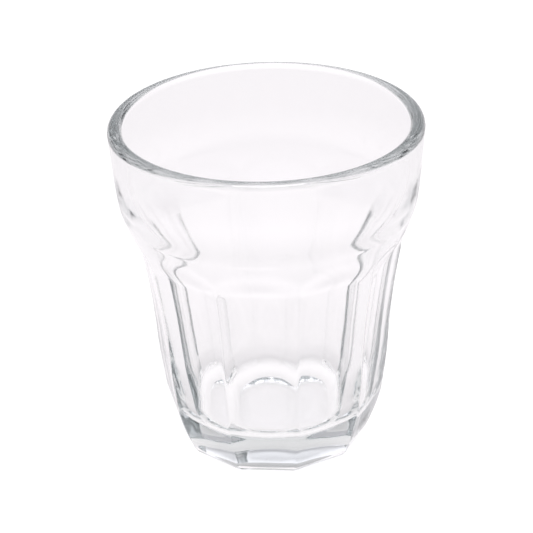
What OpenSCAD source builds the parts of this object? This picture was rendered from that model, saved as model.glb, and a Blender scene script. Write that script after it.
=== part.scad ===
// Small pressed tumbler for a cortado: a round lip and band above ten facets, on a thick chamfered foot.
// Millimetres. Z is the axis of the glass, z = 0 is the table, and one facet faces -Y.

/* [Rim] */
// Height of the glass
height = 81; // [75:0.5:92]
// Outside diameter at the rim
rim_d = 72.5; // [70.5:0.5:80]
// Wall thickness at the lip, which is rounded over all of it
lip_wall = 3.4; // [2.4:0.1:4.4]
// Outward lean of the outside just under the lip, degrees
rim_lean = 5; // [0:0.5:10]
// Outward lean of the inside just under the lip, degrees
mouth_lean = 6; // [2:0.5:12]

/* [Shoulder] */
// Height of the soft edge at which the shoulder turns into the upright band
shoulder_z = 61.5; // [60:0.5:65]
// Outside diameter at that edge
shoulder_d = 69; // [66.5:0.5:70.5]
// Outward lean of the shoulder just under the edge, degrees
shoulder_lean = 19; // [14:0.5:24]
// Outward lean of the band just over the edge, degrees
band_lean = 8; // [4:0.5:12]
// Wall thickness at the edge
shoulder_wall = 3.9; // [3:0.1:5]
// Outward lean of the inside at that height, degrees
shoulder_inside_lean = 17; // [12:0.5:20]

/* [Facets] */
// Number of facets
facet_count = 10; // [8:1:12]
// Height at which the facets start to curve out into the shoulder
facet_top_z = 50; // [46:0.5:54]
// Height at which they have run out into the round band
facet_end_z = 58.5; // [56:0.5:59.5]
// Diameter over the ribs where the facets start to curve
facet_top_d = 61.5; // [58:0.5:63.5]
// Outward lean of the ribs there, degrees
facet_top_lean = 11.5; // [6:0.5:18]
// Wall thickness in the middle of a facet there
facet_top_wall = 2.3; // [1.7:0.1:3.3]
// Outward lean of the inside there, degrees
facet_top_inside_lean = 10; // [6:0.5:14]
// Height of the waist, where the ribs stand most upright
waist_z = 26; // [22:0.5:30]
// Diameter over the ribs at the waist
waist_d = 55; // [52:0.5:57.5]
// Outward lean of the ribs at the waist, degrees
waist_lean = 3.5; // [0:0.5:8]
// Wall thickness in the middle of a facet at the waist
waist_wall = 2.3; // [1.7:0.1:3.3]
// Outward lean of the inside at the waist, degrees
waist_inside_lean = 6; // [2:0.5:10]
// Width of the narrow flat land along each rib
rib_land = 1; // [0.6:0.1:2]

/* [Foot] */
// Height of the heel, where the chamfer of the foot starts
heel_z = 11.5; // [9:0.5:14.5]
// Diameter over the ribs at the heel
heel_d = 51.5; // [48.5:0.5:54]
// Outward lean of the ribs just above the heel, degrees
heel_lean = 8; // [4:0.5:16]
// Outward lean of the chamfer just under the heel, degrees
chamfer_top_lean = 14; // [9:0.5:20]
// Outward lean of the chamfer at its foot, degrees
chamfer_lean = 25; // [18:0.5:32]
// Diameter over the ribs at the table
foot_d = 42.5; // [39.5:0.5:45]
// Height of the small bevel round the resting edge
foot_bevel_z = 0.8; // [0.5:0.1:1.6]
// How far out that bevel leads from the resting edge
foot_bevel_out = 0.6; // [0.4:0.1:1]
// Diameter of the shallow hollow under the foot
hollow_d = 27; // [20:0.5:31]
// Depth of that hollow
hollow_depth = 0.8; // [0.3:0.1:2]
// Diameter of the flat middle of that hollow
hollow_flat_d = 10; // [6:0.5:16]

/* [Inside] */
// Thickness of the base under the middle of the floor
base_t = 9.5; // [7:0.5:12]
// Diameter of the flat middle of the floor
floor_d = 35; // [28:1:37]
// Height at which the inside starts to round into the floor
bowl_foot_z = 15; // [13:0.5:17]
// Inside diameter at that height
bowl_foot_d = 43.6; // [41.2:0.2:44.4]
// Outward lean of the inside there, degrees
bowl_foot_lean = 11; // [7:0.5:15]

/* [Hidden] */
$fn = 96;
// Straight steps in each curved stretch of an outline
curve_steps = 6;
// Straight steps round the lip
lip_steps = 12;
// How far a cutting shape reaches past what it cuts
past = 4;
// How far the round blank stands outside the ribs at the top of the facets
blank_over = 0.4;
// How far below the top of the facets the straight side of the round blank ends
blank_below = 3;
// How much higher the corners of a rib land sit than those of a facet
land_up = 0.3;
// Share of the radius by which the top of a facet is carried past the round blank
scoop_past = 0.02;

facet_half = 180 / facet_count;
lip_r = lip_wall / 2;
lip_mid = [rim_d / 2 - lip_r, height - lip_r];

// Distance from the axis to the middle of a facet, where the rib lands lie at distance r
function facet_r(r) = r * cos(facet_half) + rib_land / 2 * sin(facet_half);

// A station of an outline: radius, height and how fast the radius grows with height
chamfer = [foot_d / 2 + foot_bevel_out, foot_bevel_z, tan(chamfer_lean)];
chamfer_top = [heel_d / 2, heel_z, tan(chamfer_top_lean)];
heel = [heel_d / 2, heel_z, tan(heel_lean)];
waist = [waist_d / 2, waist_z, tan(waist_lean)];
facet_top = [facet_top_d / 2, facet_top_z, tan(facet_top_lean)];
shoulder = [shoulder_d / 2, shoulder_z, tan(shoulder_lean)];
band_foot = [shoulder_d / 2, shoulder_z, tan(band_lean)];
blank_side = [facet_top[0] + blank_over, facet_top_z - blank_below, 0];
rim = [
    lip_mid[0] + lip_r * cos(rim_lean),
    lip_mid[1] - lip_r * sin(rim_lean),
    tan(rim_lean)
];
mouth = [
    lip_mid[0] - lip_r * cos(mouth_lean),
    lip_mid[1] + lip_r * sin(mouth_lean),
    tan(mouth_lean)
];
mouth_shoulder = [shoulder[0] - shoulder_wall, shoulder_z, tan(shoulder_inside_lean)];
bowl_top = [facet_r(facet_top[0]) - facet_top_wall, facet_top_z, tan(facet_top_inside_lean)];
bowl = [facet_r(waist[0]) - waist_wall, waist_z, tan(waist_inside_lean)];
bowl_foot = [bowl_foot_d / 2, bowl_foot_z, tan(bowl_foot_lean)];

// Radius at the share t of the way between two stations, on a smooth cubic
function between(a, b, t) =
    let (
        rise = b[1] - a[1],
        t2 = t * t,
        t3 = t2 * t
    )
    (2 * t3 - 3 * t2 + 1) * a[0] + (t3 - 2 * t2 + t) * rise * a[2]
    + (3 * t2 - 2 * t3) * b[0] + (t3 - t2) * rise * b[2];

// Outline points from station a to station b, without b itself and moved on by a share of a step
function stretch(a, b, move = 0) = [
    for (i = [0 : curve_steps - 1])
        let (t = (i + move) / curve_steps)
        [between(a, b, t), a[1] + (b[1] - a[1]) * t]
];

// Points of the curve that sweeps from p to q and bends towards the corner c, without its ends
function sweep(p, c, q) = [
    for (i = [1 : 2 * curve_steps - 1])
        let (t = i / (2 * curve_steps))
        (1 - t) * (1 - t) * p + 2 * t * (1 - t) * c + t * t * q
];

// Outline of the hollow under the foot, from its middle out to the resting ring
hollow_flat = [hollow_flat_d / 2, hollow_depth];
hollow_edge = [hollow_d / 2, 0];
hollow_corner = [(hollow_flat[0] + hollow_edge[0]) / 2, hollow_depth];
hollow_outline = concat(
    [[0, hollow_depth], hollow_flat],
    sweep(hollow_flat, hollow_corner, hollow_edge),
    [hollow_edge]
);

// Outline of the lip, round from the outside to the inside
lip_outline = [
    for (i = [0 : lip_steps])
        let (turn = -rim_lean + (180 - mouth_lean + rim_lean) * i / lip_steps)
        lip_mid + lip_r * [cos(turn), sin(turn)]
];

// Outline of the inside, from the mouth down to the middle of the floor
bowl_corner = [bowl_foot[0] - bowl_foot[2] * (bowl_foot_z - base_t), base_t];
floor_edge = [floor_d / 2, base_t];
inside_outline = concat(
    [for (p = stretch(mouth, mouth_shoulder)) if (p[1] < mouth[1]) p],
    stretch(mouth_shoulder, bowl_top),
    stretch(bowl_top, bowl),
    stretch(bowl, bowl_foot),
    [[bowl_foot[0], bowl_foot_z]],
    sweep([bowl_foot[0], bowl_foot_z], bowl_corner, floor_edge),
    [floor_edge, [0, base_t]]
);

// The round blank, before its facets: everything that is turned about the axis
blank_outline = concat(
    hollow_outline,
    [[blank_side[0], 0]],
    stretch(blank_side, shoulder),
    stretch(band_foot, rim),
    lip_outline,
    inside_outline
);

// Outline over the ribs from below the table to the top of the facets: bevel, chamfer, heel and wall
bevel_slope = foot_bevel_out / foot_bevel_z;
function rib_outline(up, move) = concat(
    [
        [foot_d / 2 - bevel_slope * past, -past],
        [chamfer[0] + bevel_slope * up, foot_bevel_z + up]
    ],
    [for (p = stretch(chamfer, chamfer_top, move)) if (p[1] > foot_bevel_z + up) p],
    [[chamfer_top[0] + chamfer_top[2] * up, heel_z + up]],
    [for (p = stretch(heel, waist, move)) if (p[1] > heel_z + up) p],
    stretch(waist, facet_top, move)
);

// Outline on its way out through the shoulder, from the share start of the rib's radius at each height
scoop_share = (facet_end_z - facet_top_z) / (shoulder_z - facet_top_z);
function scoop(start, move) = [
    for (i = [0 : curve_steps - 1])
        let (
            t = (i + move) / curve_steps,
            share = start + (1 + scoop_past - start) * t * t * (3 - 2 * t)
        )
        [between(facet_top, shoulder, t * scoop_share) * share, facet_top_z + (facet_end_z - facet_top_z) * t]
];
scoop_end = [between(facet_top, shoulder, scoop_share) * (1 + scoop_past), facet_end_z];

// Outlines down the middle of a rib land and down the middle of a facet
land_outline = concat(rib_outline(land_up, 0.5), scoop(1, 0.5), [scoop_end]);
facet_outline = concat(
    [for (p = rib_outline(0, 0)) [facet_r(p[0]), p[1]]],
    scoop(facet_r(facet_top[0]) / facet_top[0], 0),
    [scoop_end]
);

// Everything that lies behind a face which follows an outline and looks towards +X
module behind(outline) {
    rotate([90, 0, 0])
        linear_extrude(height = 2 * rim_d, center = true)
            polygon(concat(
                [[-rim_d, -past]],
                outline,
                [[rim_d, shoulder_z], [rim_d, height + past], [-rim_d, height + past]]
            ));
}

module tumbler() {
    color([0.86, 0.9, 0.9, 0.45])
        intersection() {
            rotate_extrude() polygon(blank_outline);
            intersection_for(i = [0 : facet_count - 1])
                rotate([0, 0, i * 2 * facet_half - 90])
                    intersection() {
                        behind(facet_outline);
                        rotate([0, 0, facet_half]) behind(land_outline);
                    }
        }
}

tumbler();
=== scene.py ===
import math

import bpy
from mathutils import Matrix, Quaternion, Vector


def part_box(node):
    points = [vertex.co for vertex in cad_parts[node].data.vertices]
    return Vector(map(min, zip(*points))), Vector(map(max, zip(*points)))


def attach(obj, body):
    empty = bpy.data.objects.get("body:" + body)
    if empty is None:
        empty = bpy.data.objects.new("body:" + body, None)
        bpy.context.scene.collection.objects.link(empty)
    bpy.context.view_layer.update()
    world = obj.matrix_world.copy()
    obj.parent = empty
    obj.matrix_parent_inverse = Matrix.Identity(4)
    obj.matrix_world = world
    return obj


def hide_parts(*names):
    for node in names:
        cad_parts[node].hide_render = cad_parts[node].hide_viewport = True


# A small pressed tumbler of clear glass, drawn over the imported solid, in the photograph's view.
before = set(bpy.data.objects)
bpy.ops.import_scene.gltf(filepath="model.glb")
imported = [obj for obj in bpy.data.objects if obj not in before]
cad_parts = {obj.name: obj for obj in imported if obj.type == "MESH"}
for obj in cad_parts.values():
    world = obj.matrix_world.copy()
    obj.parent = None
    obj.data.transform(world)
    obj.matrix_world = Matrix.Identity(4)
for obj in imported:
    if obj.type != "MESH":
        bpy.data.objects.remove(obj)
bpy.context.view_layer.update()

# One millimetre, the unit of every length below, in metres
MM = 0.001
WHITE = (1, 1, 1, 1)

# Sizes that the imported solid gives
glass_low, glass_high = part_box("tumbler")
height = (glass_high.z - glass_low.z) / MM
rim_radius = min(glass_high.x - glass_low.x, glass_high.y - glass_low.y) / 2 / MM

# Rim and round band, with leans in degrees
lip_wall = 3.4
rim_lean = 5
mouth_lean = 6
shoulder_z = 61.5
shoulder_radius = 34.5
shoulder_lean = 19
band_lean = 8
shoulder_wall = 3.9
shoulder_inside_lean = 17
shoulder_edge_softness = 1.6

# Facets
facet_count = 10
facet_top_z = 50
facet_end_z = 58.5
facet_top_radius = 30.75
facet_top_lean = 11.5
facet_top_wall = 2.3
facet_top_inside_lean = 10
waist_z = 26
waist_radius = 27.5
waist_lean = 3.5
waist_wall = 2.3
waist_inside_lean = 6
blank_over_ribs = 0.4
blank_below_facet_top = 3
scoop_past = 0.02
rib_land = 1
rib_rounding = 0.3
shoulder_softness = 1.4

# Heel, chamfer and foot
heel_z = 11.5
heel_radius = 25.75
heel_lean = 8
chamfer_top_lean = 14
chamfer_lean = 25
foot_radius = 21.25
bevel_z = 0.8
bevel_out = 0.6
heel_softness = 0.7
bevel_softness = 0.25
hollow_radius = 13.5
hollow_depth = 0.8
hollow_flat_radius = 5

# Inside of the cup
base_thickness = 9.5
cup_floor_radius = 17.5
bowl_foot_z = 15
bowl_foot_radius = 21.8
bowl_foot_lean = 11

# How finely the surface is divided, with finer steps towards the ribs of a facet
rows_in_a_stretch = 22
rows_in_a_corner = 7
rows_in_the_lip = 24
cup_floor_row_shares = (0.6, 0.3, 0)
least_row_gap = 0.1
steps_per_facet = 30
even_share = 0.3
merge_distance = 0.002

# Stands in for the round radius or the facet distance on rows that don't have one
OUT_OF_REACH = 1000.0

# Light runs on through this many turns inside the glass
light_bounces = 40

# Glass: its colour in depth, and the faint waves and haze that pressing leaves on its surface
glass_ior = 1.52
glass_colour = (0.7, 0.727, 0.725, 1)
glass_density = 37.0
wave_scale = 120.0
wave_detail = 1.0
wave_depth = 0.05
haze_least = 0.02
haze_most = 0.07

# Studio: how bright it is at each height, from 0 at the horizon to 1 straight overhead
world_levels = ((0.0, 0.75), (0.26, 0.66), (0.42, 0.86), (0.58, 1.5), (0.88, 2.3))
world_tint = (1.01, 0.98, 1.04)

# Floor: its own grey, how bright it looks to the camera, and, by distance from the axis, how bright it looks
# in the glass, with painted light and shade round the foot
floor_half_side = 3000
floor_grey = (0.08, 0.08, 0.08, 1)
floor_roughness = 0.9
floor_to_camera = 0.96
floor_tint_in_glass = (1.0, 0.965, 0.985, 1)
# Painted light and shade by distance in mm: a painted pool of light under the foot, a painted shadow just
# outside it, then uneven painted shade
painted_floor_light_levels = (
    (0, 0.95), (14, 0.95), (18, 1.08), (21, 1.08), (24, 0.66),
    (29, 0.72), (42, 0.85), (60, 0.85), (110, 0.91), (200, 0.8),
)

# Camera, as fitted to the rim, heel and foot in the photograph
camera_place = Vector((49.7, -484.7, 288.8)) * MM
camera_target = Vector((-0.89, 0, 43.37)) * MM
camera_roll = -1.75
camera_lens = 157.1
camera_sensor = 36
camera_near = 10
camera_far = 20000


def slope(lean):
    """How fast a radius grows with height on a face that leans outwards by so many degrees."""
    return math.tan(math.radians(lean))


def between(a, b, t):
    """Radius at the share t of the way between two stations of (radius, height, slope), on a smooth cubic."""
    rise = b[1] - a[1]
    t2 = t * t
    t3 = t2 * t
    start = (2 * t3 - 3 * t2 + 1) * a[0] + (t3 - 2 * t2 + t) * rise * a[2]
    return start + (3 * t2 - 2 * t3) * b[0] + (t3 - t2) * rise * b[2]


def stretch(a, b, rows=rows_in_a_stretch):
    """Points (radius, height) from station a to station b, without b itself."""
    points = []
    for i in range(rows):
        t = i / rows
        points.append((between(a, b, t), a[1] + (b[1] - a[1]) * t))
    return points


def sweep(p, corner, q, rows):
    """Points of the curve from p to q that bends towards a corner, with both ends."""
    points = []
    for i in range(rows + 1):
        t = i / rows
        u = 1 - t
        points.append(tuple(u * u * a + 2 * t * u * c + t * t * b for a, c, b in zip(p, corner, q)))
    return points


def towards(p, q, distance):
    """The point at a distance from p on the way to q."""
    share = distance / math.dist(p, q)
    return tuple(a + (b - a) * share for a, b in zip(p, q))


def softened(before, corner, after, softness):
    """Points that round a corner off, from softness before it to softness after it."""
    start = towards(corner, before, softness)
    end = towards(corner, after, softness)
    return sweep(start, corner, end, rows_in_a_corner)


def smooth_step(t):
    """The share t, eased at both ends."""
    return t * t * (3 - 2 * t)


def facet_distance(radius):
    """Distance from the axis to the middle of a facet, where the rib lands lie at a radius."""
    return radius * math.cos(half_facet) + rib_land / 2 * math.sin(half_facet)


# Stations of the outline: radius, height and slope
half_facet = math.radians(180 / facet_count)
lip_radius = lip_wall / 2
lip_middle = (rim_radius - lip_radius, height - lip_radius)
heel = (heel_radius, heel_z, slope(heel_lean))
waist = (waist_radius, waist_z, slope(waist_lean))
facet_top = (facet_top_radius, facet_top_z, slope(facet_top_lean))
shoulder = (shoulder_radius, shoulder_z, slope(shoulder_lean))
band_foot = (shoulder_radius, shoulder_z, slope(band_lean))
rim = (
    lip_middle[0] + lip_radius * math.cos(math.radians(rim_lean)),
    lip_middle[1] - lip_radius * math.sin(math.radians(rim_lean)),
    slope(rim_lean),
)
mouth = (
    lip_middle[0] - lip_radius * math.cos(math.radians(mouth_lean)),
    lip_middle[1] + lip_radius * math.sin(math.radians(mouth_lean)),
    slope(mouth_lean),
)
mouth_shoulder = (shoulder_radius - shoulder_wall, shoulder_z, slope(shoulder_inside_lean))
bowl_top = (facet_distance(facet_top_radius) - facet_top_wall, facet_top_z, slope(facet_top_inside_lean))
bowl = (facet_distance(waist_radius) - waist_wall, waist_z, slope(waist_inside_lean))
bowl_foot = (bowl_foot_radius, bowl_foot_z, slope(bowl_foot_lean))


def underside_rows():
    """Rows from the middle of the hollow under the foot out to the resting ring."""
    flat = (hollow_flat_radius, hollow_depth)
    edge = (hollow_radius, 0)
    corner = ((flat[0] + edge[0]) / 2, hollow_depth)
    hollow = [(0, hollow_depth)] + sweep(flat, corner, edge, rows_in_a_stretch)
    return [(r, OUT_OF_REACH, z) for r, z in hollow]


def rib_rows():
    """Rows of the faceted body, from the resting ring up to the top of the facets."""
    inner = (hollow_radius, 0)
    foot = (foot_radius, 0)
    chamfer_foot = (foot_radius + bevel_out, bevel_z, slope(chamfer_lean))
    chamfer = stretch(chamfer_foot, (heel_radius, heel_z, slope(chamfer_top_lean)))
    wall = stretch(heel, waist)
    points = [towards(foot, inner, 2 * bevel_softness)]
    points += softened(inner, foot, chamfer[0], bevel_softness)
    points += softened(foot, chamfer[0], chamfer[1], bevel_softness)
    points += [p for p in chamfer if points[-1][1] + least_row_gap < p[1] < heel_z - heel_softness]
    points += softened(chamfer[-2], heel[:2], wall[2], heel_softness)
    points += [p for p in wall if p[1] > points[-1][1] + least_row_gap]
    points += stretch(waist, facet_top)
    return [(OUT_OF_REACH, facet_distance(r), z) for r, z in points]


def shoulder_rows():
    """Rows where the facets run out through the round band."""
    blank_side = (facet_top_radius + blank_over_ribs, facet_top_z - blank_below_facet_top, 0)
    start = facet_distance(facet_top_radius) / facet_top_radius
    rows = []
    for r, z in stretch(facet_top, shoulder, 2 * rows_in_a_stretch):
        if z > shoulder_z - shoulder_edge_softness:
            break
        t = min((z - facet_top_z) / (facet_end_z - facet_top_z), 1)
        share = start + (1 + scoop_past - start) * smooth_step(t)
        round_t = (z - blank_side[1]) / (shoulder_z - blank_side[1])
        rows.append((between(blank_side, shoulder, round_t), r * share, z))
    return rows


def band_rows():
    """Rows of the round band, the lip and the inside, down to the middle of the floor."""
    below = shoulder_edge_softness
    before = (shoulder_radius - shoulder[2] * below, shoulder_z - below)
    band = stretch(band_foot, rim)
    points = softened(before, shoulder[:2], band[2], shoulder_edge_softness)
    points += [p for p in band if p[1] > points[-1][1] + least_row_gap]
    first = -math.radians(rim_lean)
    turn = math.pi - math.radians(mouth_lean) - first
    for i in range(rows_in_the_lip + 1):
        angle = first + turn * i / rows_in_the_lip
        points.append((
            lip_middle[0] + lip_radius * math.cos(angle),
            lip_middle[1] + lip_radius * math.sin(angle),
        ))
    points += stretch(mouth, mouth_shoulder)[1:]
    points += stretch(mouth_shoulder, bowl_top)
    points += stretch(bowl_top, bowl)
    bowl_corner = (bowl_foot_radius - bowl_foot[2] * (bowl_foot_z - base_thickness), base_thickness)
    floor_edge = (cup_floor_radius, base_thickness)
    points += stretch(bowl, bowl_foot)
    points += sweep(bowl_foot[:2], bowl_corner, floor_edge, rows_in_a_stretch)
    points += [(cup_floor_radius * share, base_thickness) for share in cup_floor_row_shares]
    return [(r, OUT_OF_REACH, z) for r, z in points]


class Tree:
    """A node tree with short ways to add and join nodes."""

    def __init__(self, tree):
        self.tree = tree

    def node(self, kind, **settings):
        made = self.tree.nodes.new(kind)
        for name, value in settings.items():
            setattr(made, name, value)
        return made

    def link(self, source, target):
        self.tree.links.new(source, target)

    def feed(self, socket, value):
        if isinstance(value, bpy.types.NodeSocket):
            self.link(value, socket)
        else:
            socket.default_value = value

    def math(self, operation, *values):
        made = self.node("ShaderNodeMath", operation=operation)
        for socket, value in zip(made.inputs, values):
            self.feed(socket, value)
        return made.outputs[0]

    def whole(self, operation, *values):
        made = self.node("FunctionNodeIntegerMath", operation=operation)
        for socket, value in zip(made.inputs, values):
            self.feed(socket, value)
        return made.outputs[0]


def dip_at_edge(tree, apart, softness):
    """How far a rounded edge lies below the sharp one, where its two faces are less than softness apart."""
    near = tree.math("MAXIMUM", tree.math("SUBTRACT", 1, tree.math("DIVIDE", apart, softness)), 0)
    return tree.math("MULTIPLY", tree.math("MULTIPLY", near, near), tree.math("DIVIDE", softness, 4))


def soft_min(tree, a, b, softness):
    """The smaller of two lengths, rounded over where they come closer than softness."""
    apart = tree.math("ABSOLUTE", tree.math("SUBTRACT", a, b))
    return tree.math("SUBTRACT", tree.math("MINIMUM", a, b), dip_at_edge(tree, apart, softness))


def pressed_form_tree():
    """Geometry nodes that turn rows of an outline into the faceted body of a pressed glass."""
    group = bpy.data.node_groups.new("pressed_form", "GeometryNodeTree")
    tree = Tree(group)
    face = group.interface
    face.new_socket("Outline", in_out="INPUT", socket_type="NodeSocketGeometry")
    inputs = (
        ("Facet Count", "NodeSocketInt"),
        ("Steps Per Facet", "NodeSocketInt"),
        ("Row Count", "NodeSocketInt"),
        ("Rib Rounding", "NodeSocketFloat"),
        ("Shoulder Softness", "NodeSocketFloat"),
        ("Glass", "NodeSocketMaterial"),
    )
    for name, kind in inputs:
        face.new_socket(name, in_out="INPUT", socket_type=kind)
    face.new_socket("Body", in_out="OUTPUT", socket_type="NodeSocketGeometry")
    given = tree.node("NodeGroupInput").outputs
    facets = given["Facet Count"]
    steps = given["Steps Per Facet"]

    # A grid with one line of points for each row of the outline, and one more point than steps round it
    columns = tree.whole("ADD", tree.whole("MULTIPLY", facets, steps), 1)
    grid = tree.node("GeometryNodeMeshGrid")
    tree.link(given["Row Count"], grid.inputs["Vertices X"])
    tree.link(columns, grid.inputs["Vertices Y"])
    index = tree.node("GeometryNodeInputIndex").outputs[0]
    row = tree.whole("DIVIDE_FLOOR", index, columns)
    column = tree.whole("MODULO", index, columns)

    # What the outline says at this row: its round radius, the distance of its facets and its height
    place = tree.node("GeometryNodeSampleIndex", data_type="FLOAT_VECTOR")
    tree.link(given["Outline"], place.inputs["Geometry"])
    tree.link(tree.node("GeometryNodeInputPosition").outputs[0], place.inputs["Value"])
    tree.link(row, place.inputs["Index"])
    outline = tree.node("ShaderNodeSeparateXYZ")
    tree.link(place.outputs[0], outline.inputs[0])
    round_radius, middle_distance, level = outline.outputs

    # The angle from the middle of the facet, with finer steps towards its ribs
    half = tree.math("DIVIDE", math.pi, facets)
    number = tree.whole("DIVIDE_FLOOR", column, steps)
    share = tree.math("DIVIDE", tree.whole("MODULO", column, steps), steps)
    share = tree.math("SUBTRACT", tree.math("MULTIPLY", share, 2), 1)
    even = tree.math("MULTIPLY", share, even_share)
    drawn = tree.math("SINE", tree.math("MULTIPLY", share, math.pi / 2))
    drawn = tree.math("MULTIPLY", drawn, 1 - even_share)
    off = tree.math("MULTIPLY", half, tree.math("ADD", even, drawn))
    turn = tree.math("ADD", off, tree.math("MULTIPLY", tree.math("MULTIPLY", number, half), 2))

    # The facet's own radius at this angle, with the rib rounded off
    plain = tree.math("DIVIDE", middle_distance, tree.math("COSINE", off))
    to_rib = tree.math("SINE", tree.math("SUBTRACT", half, tree.math("ABSOLUTE", off)))
    apart = tree.math("MULTIPLY", tree.math("MULTIPLY", plain, to_rib), tree.math("SINE", half))
    apart = tree.math("MULTIPLY", apart, 2)
    dip = dip_at_edge(tree, apart, given["Rib Rounding"])
    faceted = tree.math("DIVIDE", tree.math("SUBTRACT", middle_distance, dip), tree.math("COSINE", off))
    radius = soft_min(tree, round_radius, faceted, given["Shoulder Softness"])

    # The body, closed round and at both poles
    spot = tree.node("ShaderNodeCombineXYZ")
    across = tree.math("SINE", turn)
    along = tree.math("MULTIPLY", tree.math("COSINE", turn), -1)
    tree.link(tree.math("MULTIPLY", radius, across), spot.inputs["X"])
    tree.link(tree.math("MULTIPLY", radius, along), spot.inputs["Y"])
    tree.link(level, spot.inputs["Z"])
    placed = tree.node("GeometryNodeSetPosition")
    tree.link(grid.outputs["Mesh"], placed.inputs["Geometry"])
    tree.link(spot.outputs[0], placed.inputs["Position"])
    closed = tree.node("GeometryNodeMergeByDistance")
    closed.inputs["Distance"].default_value = merge_distance * MM
    tree.link(placed.outputs[0], closed.inputs["Geometry"])
    outward = tree.node("GeometryNodeFlipFaces")
    tree.link(closed.outputs[0], outward.inputs[0])
    smooth = tree.node("GeometryNodeSetShadeSmooth")
    tree.link(outward.outputs[0], smooth.inputs["Geometry"])
    real = tree.node("GeometryNodeRealizeInstances")
    tree.link(smooth.outputs[0], real.inputs[0])
    coated = tree.node("GeometryNodeSetMaterial")
    tree.link(real.outputs[0], coated.inputs["Geometry"])
    tree.link(given["Glass"], coated.inputs["Material"])
    out = tree.node("NodeGroupOutput")
    tree.link(coated.outputs[0], out.inputs[0])
    return group


def plain_mesh_of(name, host, tree, values):
    """Runs a geometry tree on a host mesh and keeps the result as a plain mesh object."""
    piece = bpy.data.objects.new(name, host)
    bpy.context.scene.collection.objects.link(piece)
    modifier = piece.modifiers.new(name, "NODES")
    modifier.node_group = tree
    for item in tree.interface.items_tree:
        if item.name in values:
            modifier[item.identifier] = values[item.name]
    bpy.context.view_layer.update()
    shown = piece.evaluated_get(bpy.context.evaluated_depsgraph_get())
    made = bpy.data.meshes.new_from_object(shown)
    piece.modifiers.remove(modifier)
    piece.data = made
    made.name = name
    made.materials.clear()
    made.materials.append(values["Glass"])
    made.polygons.foreach_set("material_index", [0] * len(made.polygons))
    return piece


def pressed_glass():
    """Clear glass with a faintly uneven surface, which takes some light away with depth."""
    material = bpy.data.materials.new("pressed_glass")
    material.use_nodes = True
    tree = Tree(material.node_tree)
    shader = material.node_tree.nodes["Principled BSDF"]
    shader.inputs["Base Color"].default_value = WHITE
    shader.inputs["IOR"].default_value = glass_ior
    shader.inputs["Transmission Weight"].default_value = 1.0

    # The same soft noise gives the surface its waves and its uneven haze
    place = tree.node("ShaderNodeTexCoord")
    waves = tree.node("ShaderNodeTexNoise")
    waves.inputs["Scale"].default_value = wave_scale
    waves.inputs["Detail"].default_value = wave_detail
    tree.link(place.outputs["Object"], waves.inputs["Vector"])
    bump = tree.node("ShaderNodeBump")
    bump.inputs["Strength"].default_value = 1.0
    bump.inputs["Distance"].default_value = wave_depth * MM
    tree.link(waves.outputs[0], bump.inputs["Height"])
    tree.link(bump.outputs[0], shader.inputs["Normal"])
    haze = tree.node("ShaderNodeMapRange")
    haze.inputs["To Min"].default_value = haze_least
    haze.inputs["To Max"].default_value = haze_most
    tree.link(waves.outputs[0], haze.inputs["Value"])
    tree.link(haze.outputs[0], shader.inputs["Roughness"])

    # Light loses a little of its strength on each millimetre inside the glass
    absorb = tree.node("ShaderNodeVolumeAbsorption")
    absorb.inputs["Color"].default_value = glass_colour
    absorb.inputs["Density"].default_value = glass_density
    output = material.node_tree.nodes["Material Output"]
    tree.link(absorb.outputs[0], output.inputs["Volume"])
    return material


def tumbler():
    """The glass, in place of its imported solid."""
    rows = underside_rows() + rib_rows() + shoulder_rows() + band_rows()
    host = bpy.data.meshes.new("tumbler_outline")
    host.from_pydata([tuple(v * MM for v in row) for row in rows], [], [])
    glass = pressed_glass()
    host.materials.append(glass)
    values = {
        "Facet Count": facet_count,
        "Steps Per Facet": steps_per_facet,
        "Row Count": len(rows),
        "Rib Rounding": rib_rounding * MM,
        "Shoulder Softness": shoulder_softness * MM,
        "Glass": glass,
    }
    piece = plain_mesh_of("tumbler_glass", host, pressed_form_tree(), values)
    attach(piece, "root")
    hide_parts("tumbler")
    return piece


def ramp_of(tree, stops, tint):
    """A colour ramp through stops of (position, level), where each level is coloured by a tint."""
    made = tree.node("ShaderNodeValToRGB")
    elements = made.color_ramp.elements
    for element, (position, level) in ((elements[0], stops[0]), (elements[-1], stops[-1])):
        element.position = position
        element.color = [level * share for share in tint] + [1]
    for position, level in stops[1:-1]:
        elements.new(position).color = [level * share for share in tint] + [1]
    return made


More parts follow.
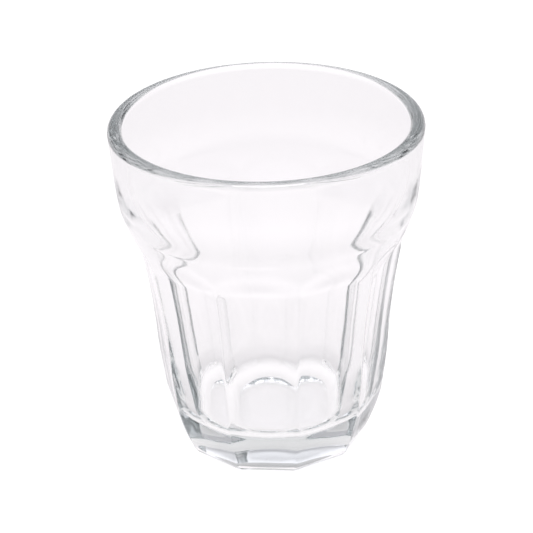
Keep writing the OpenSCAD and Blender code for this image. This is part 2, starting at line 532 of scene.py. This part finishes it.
def white_floor():
    """A floor that the camera sees white, that keeps the shadow of the glass, and that shows painted light
    and shade round the glass to rays that have met it.
    """
    side = floor_half_side * MM
    mesh = bpy.data.meshes.new("floor")
    corners = [(-side, -side, 0), (side, -side, 0), (side, side, 0), (-side, side, 0)]
    mesh.from_pydata(corners, [], [(0, 1, 2, 3)])
    floor = bpy.data.objects.new("floor", mesh)
    bpy.context.scene.collection.objects.link(floor)
    material = bpy.data.materials.new("white_paper")
    material.use_nodes = True
    tree = Tree(material.node_tree)
    shader = material.node_tree.nodes["Principled BSDF"]
    shader.inputs["Base Color"].default_value = floor_grey
    shader.inputs["Roughness"].default_value = floor_roughness

    # The camera sees plain white, and rays that have met the glass see a floor with a faint tint
    path = tree.node("ShaderNodeLightPath")
    tint = tree.node("ShaderNodeMix", data_type="RGBA")
    sockets = {socket.identifier: socket for socket in tint.inputs}
    sockets["A_Color"].default_value = floor_tint_in_glass
    sockets["B_Color"].default_value = WHITE
    tree.link(path.outputs["Is Camera Ray"], sockets["Factor_Float"])
    tinted = {socket.identifier: socket for socket in tint.outputs}["Result_Color"]
    tree.link(tinted, shader.inputs["Emission Color"])

    # Those rays also see painted light and shade round the foot of the glass: a painted pool of light under
    # the foot, a painted shadow just round it, and uneven painted shade further out
    place = tree.node("ShaderNodeTexCoord")
    distance = tree.node("ShaderNodeVectorMath", operation="LENGTH")
    tree.link(place.outputs["Object"], distance.inputs[0])
    reach = painted_floor_light_levels[-1][0]
    light = ramp_of(tree, [(radius / reach, level) for radius, level in painted_floor_light_levels], WHITE[:3])
    tree.link(tree.math("DIVIDE", distance.outputs["Value"], reach * MM), light.inputs[0])
    bent = tree.math("MAXIMUM", path.outputs["Is Glossy Ray"], path.outputs["Is Transmission Ray"])
    in_glass = tree.math("MULTIPLY", bent, light.outputs[0])
    direct = tree.math("MULTIPLY", path.outputs["Is Camera Ray"], floor_to_camera)
    tree.link(tree.math("MAXIMUM", in_glass, direct), shader.inputs["Emission Strength"])
    mesh.materials.append(material)
    return floor


def studio_world():
    """Soft light from all round, brightest overhead."""
    world = bpy.data.worlds.new("studio")
    world.use_nodes = True
    tree = Tree(world.node_tree)
    back = world.node_tree.nodes["Background"]
    ramp = ramp_of(tree, world_levels, world_tint)
    spot = tree.node("ShaderNodeTexCoord")
    split = tree.node("ShaderNodeSeparateXYZ")
    tree.link(spot.outputs["Generated"], split.inputs[0])
    tree.link(split.outputs["Z"], ramp.inputs[0])
    tree.link(ramp.outputs[0], back.inputs["Color"])
    bpy.context.scene.world = world


def camera():
    """The camera of the photograph."""
    data = bpy.data.cameras.new("camera")
    data.lens = camera_lens
    data.sensor_width = camera_sensor
    data.clip_start = camera_near * MM
    data.clip_end = camera_far * MM
    made = bpy.data.objects.new("camera", data)
    bpy.context.scene.collection.objects.link(made)
    made.location = camera_place
    made.rotation_mode = "QUATERNION"
    aim = (camera_target - camera_place).to_track_quat("-Z", "Y")
    made.rotation_quaternion = aim @ Quaternion((0, 0, 1), math.radians(camera_roll))
    bpy.context.scene.camera = made


camera()
tumbler()
white_floor()
studio_world()
bpy.context.scene.view_settings.view_transform = "Standard"
bpy.context.scene.cycles.max_bounces = light_bounces
bpy.context.scene.cycles.transmission_bounces = light_bounces
bpy.context.scene.cycles.glossy_bounces = light_bounces
